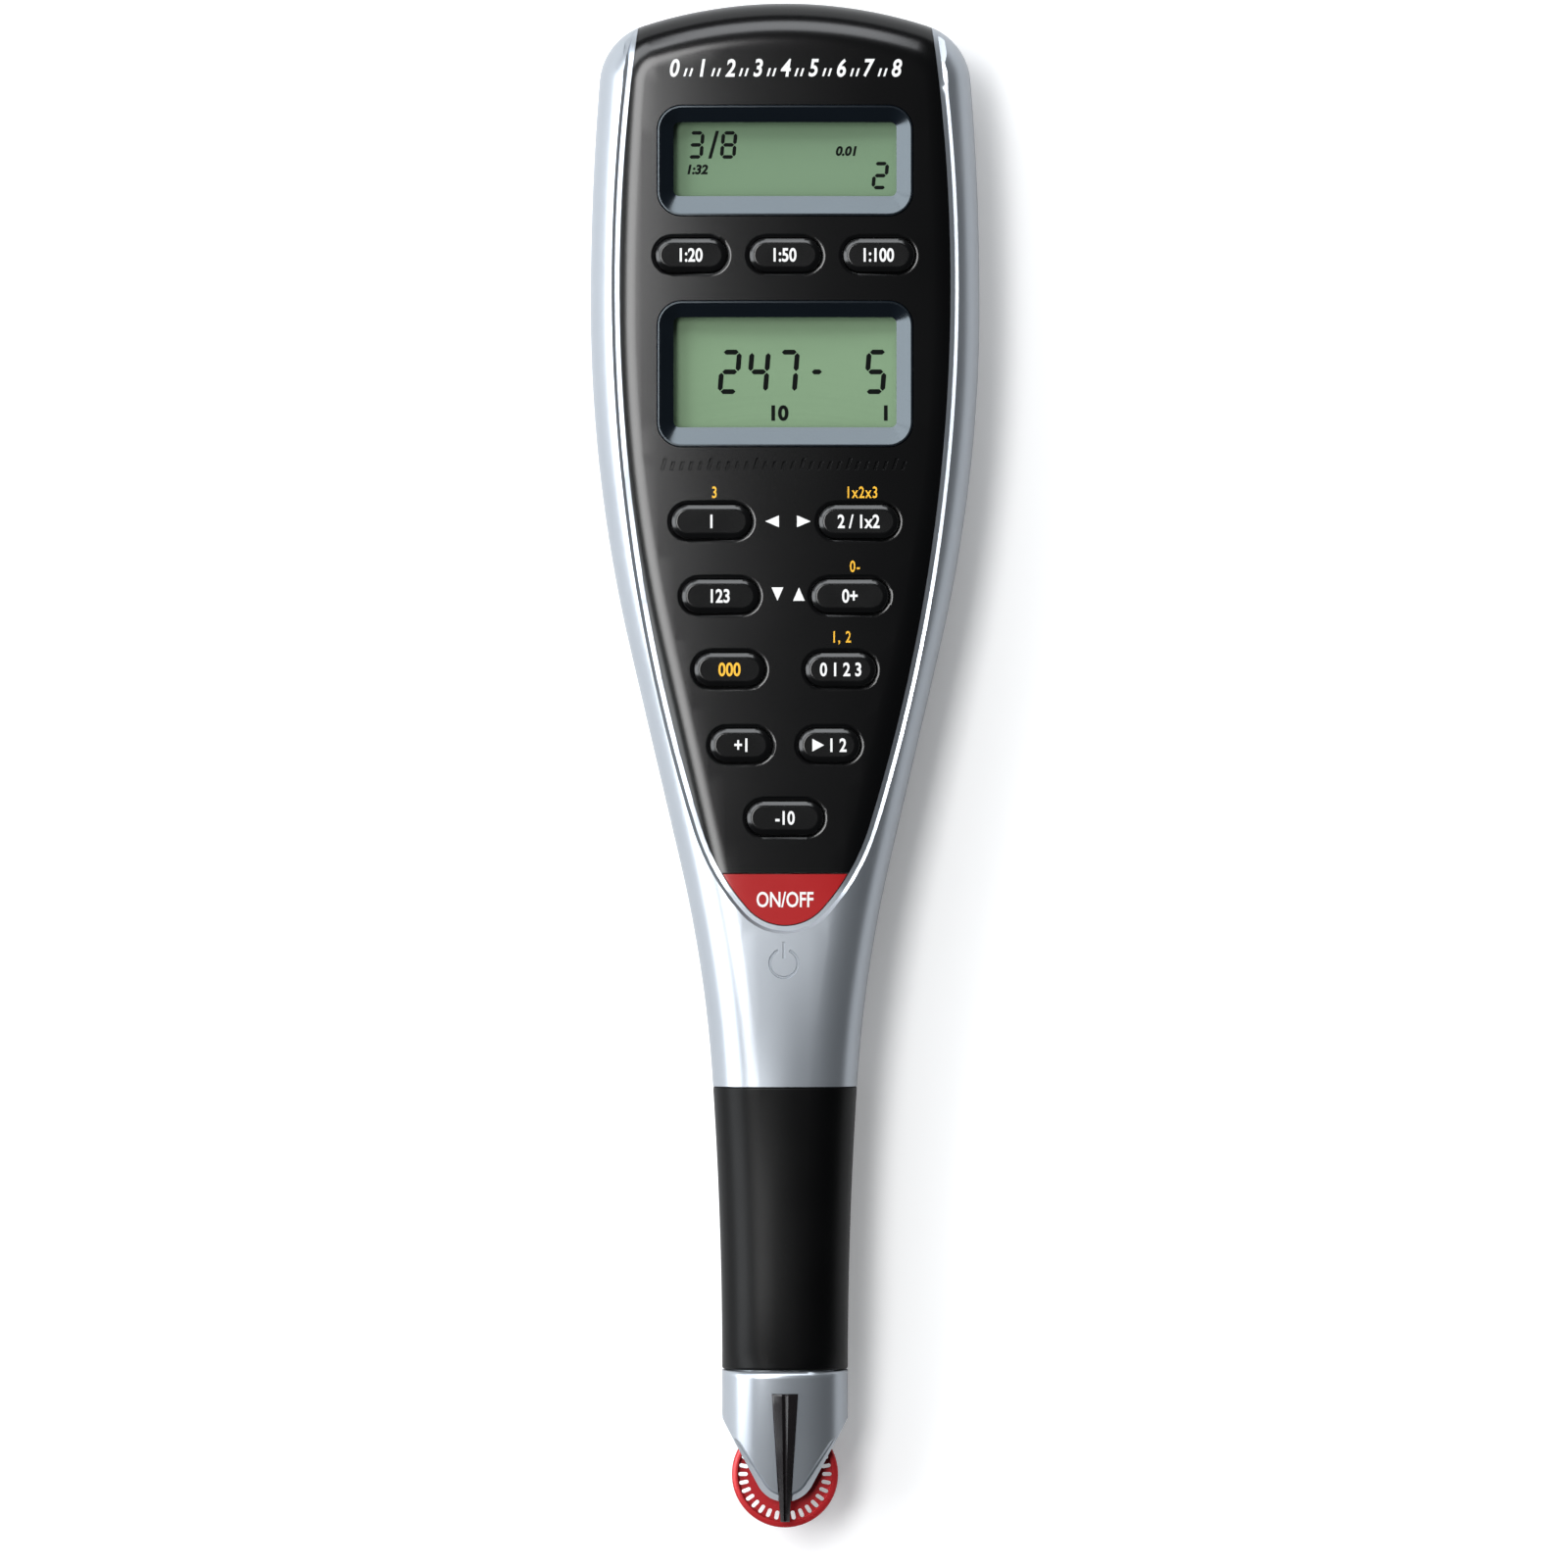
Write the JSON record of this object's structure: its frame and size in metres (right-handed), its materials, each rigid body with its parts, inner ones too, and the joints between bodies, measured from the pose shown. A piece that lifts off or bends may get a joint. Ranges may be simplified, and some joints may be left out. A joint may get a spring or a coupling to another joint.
{
  "type": "digital plan measure",
  "caption": "Hand-held digital plan measure with two displays, a press keypad, a slim rubber grip and a small slotted measuring wheel at its tip.",
  "frame": {"origin": "centre of the outline, on the plane that the back rests on", "axes": "+Z out of the face, +Y towards the display head, +X to the right seen from the front"},
  "size_m": [0.0464, 0.1818, 0.0159],
  "materials": {
    "silver_plastic": "satin paint with a fine metallic flake",
    "black_plate": "semi-gloss",
    "black_plastic": "fine grain",
    "grey_key": "satin",
    "red_key": "satin",
    "clear_window": "polished",
    "display": "matte film over glass",
    "rubber_sleeve": "smooth",
    "silicone": "matte",
    "contact_strip": "matte",
    "board": "solder mask",
    "chip_black": "moulded",
    "white_plastic": "moulded",
    "cable_film": "smooth film",
    "steel": "brushed",
    "nickel": "plated",
    "bronze": "sintered",
    "red_wheel": "moulded",
    "rear_plastic": "satin paint"
  },
  "bodies": {
    "case": {"front_shell": "silver_plastic", "rear_shell": "rear_plastic", "face_plate": "black_plate", "upper_bezel": "black_plastic", "lower_bezel": "black_plastic", "upper_lens": "clear_window", "lower_lens": "clear_window", "upper_display": "display", "lower_display": "display", "upper_display_holder": "white_plastic", "lower_display_holder": "white_plastic", "upper_contact_strips": "contact_strip", "lower_contact_strips": "contact_strip", "upper_key_mat": "silicone", "lower_key_mat": "silicone", "main_board": "board", "processor": "chip_black", "clock_crystal": "steel", "capacitors": "white_plastic", "cable_connector": "white_plastic", "flat_cable": "cable_film", "battery_holder": "black_plastic", "coin_cell": "steel", "battery_leaf_contact": "nickel", "battery_side_contact": "nickel", "computer_jack": "black_plastic", "grip_sleeve": "rubber_sleeve", "nose_front": "silver_plastic", "nose_rear": "silver_plastic", "pointer": "black_plastic", "axle_pin": "steel", "optical_sensor": "chip_black", "sensor_board": "board", "case_screws": "steel", "nose_screws": "steel"},
    "battery_door": {"battery_door": "rear_plastic"},
    "measuring_wheel": {"measuring_wheel": "red_wheel", "wheel_bush": "bronze"},
    "power_key": {"power_key": "red_key"},
    "scale_a_key": {"scale_a_key": "grey_key"},
    "scale_b_key": {"scale_b_key": "grey_key"},
    "scale_c_key": {"scale_c_key": "grey_key"},
    "length_key": {"length_key": "grey_key"},
    "area_key": {"area_key": "grey_key"},
    "recall_key": {"recall_key": "grey_key"},
    "memory_key": {"memory_key": "grey_key"},
    "set_key": {"set_key": "grey_key"},
    "count_key": {"count_key": "grey_key"},
    "constant_key": {"constant_key": "grey_key"},
    "send_key": {"send_key": "grey_key"},
    "subtract_key": {"subtract_key": "grey_key"}
  },
  "joints": [
    {"name": "scale_a_key_press", "type": "slide", "parent": "case", "child": "scale_a_key", "axis": [0, 0, -1], "range_m": [0, 0.0008], "stiffness_N_per_m": 400, "springref_m": -0.0004},
    {"name": "scale_b_key_press", "type": "slide", "parent": "case", "child": "scale_b_key", "axis": [0, 0, -1], "range_m": [0, 0.0008], "stiffness_N_per_m": 400, "springref_m": -0.0004, "deforming": ["upper_key_mat"]},
    {"name": "scale_c_key_press", "type": "slide", "parent": "case", "child": "scale_c_key", "axis": [0, 0, -1], "range_m": [0, 0.0008], "stiffness_N_per_m": 400, "springref_m": -0.0004},
    {"name": "length_key_press", "type": "slide", "parent": "case", "child": "length_key", "axis": [0, 0, -1], "range_m": [0, 0.0008], "stiffness_N_per_m": 400, "springref_m": -0.0004},
    {"name": "area_key_press", "type": "slide", "parent": "case", "child": "area_key", "axis": [0, 0, -1], "range_m": [0, 0.0008], "stiffness_N_per_m": 400, "springref_m": -0.0004},
    {"name": "recall_key_press", "type": "slide", "parent": "case", "child": "recall_key", "axis": [0, 0, -1], "range_m": [0, 0.0008], "stiffness_N_per_m": 400, "springref_m": -0.0004},
    {"name": "memory_key_press", "type": "slide", "parent": "case", "child": "memory_key", "axis": [0, 0, -1], "range_m": [0, 0.0008], "stiffness_N_per_m": 400, "springref_m": -0.0004},
    {"name": "set_key_press", "type": "slide", "parent": "case", "child": "set_key", "axis": [0, 0, -1], "range_m": [0, 0.0008], "stiffness_N_per_m": 400, "springref_m": -0.0004},
    {"name": "count_key_press", "type": "slide", "parent": "case", "child": "count_key", "axis": [0, 0, -1], "range_m": [0, 0.0008], "stiffness_N_per_m": 400, "springref_m": -0.0004},
    {"name": "constant_key_press", "type": "slide", "parent": "case", "child": "constant_key", "axis": [0, 0, -1], "range_m": [0, 0.0008], "stiffness_N_per_m": 400, "springref_m": -0.0004},
    {"name": "send_key_press", "type": "slide", "parent": "case", "child": "send_key", "axis": [0, 0, -1], "range_m": [0, 0.0008], "stiffness_N_per_m": 400, "springref_m": -0.0004},
    {"name": "subtract_key_press", "type": "slide", "parent": "case", "child": "subtract_key", "axis": [0, 0, -1], "range_m": [0, 0.0008], "stiffness_N_per_m": 400, "springref_m": -0.0004, "deforming": ["lower_key_mat"]},
    {"name": "power_key_press", "type": "slide", "parent": "case", "child": "power_key", "axis": [0, 0, -1], "range_m": [0, 0.0008], "stiffness_N_per_m": 400, "springref_m": -0.0004},
    {"name": "wheel_spin", "type": "hinge", "parent": "case", "child": "measuring_wheel", "pos_m": [0, -0.08455, 0.008], "axis": [0, 0, 1], "continuous": true},
    {"name": "battery_door_slide", "type": "slide", "parent": "case", "child": "battery_door", "axis": [0, 1, 0], "range_m": [0, 0.04]}
  ]
}
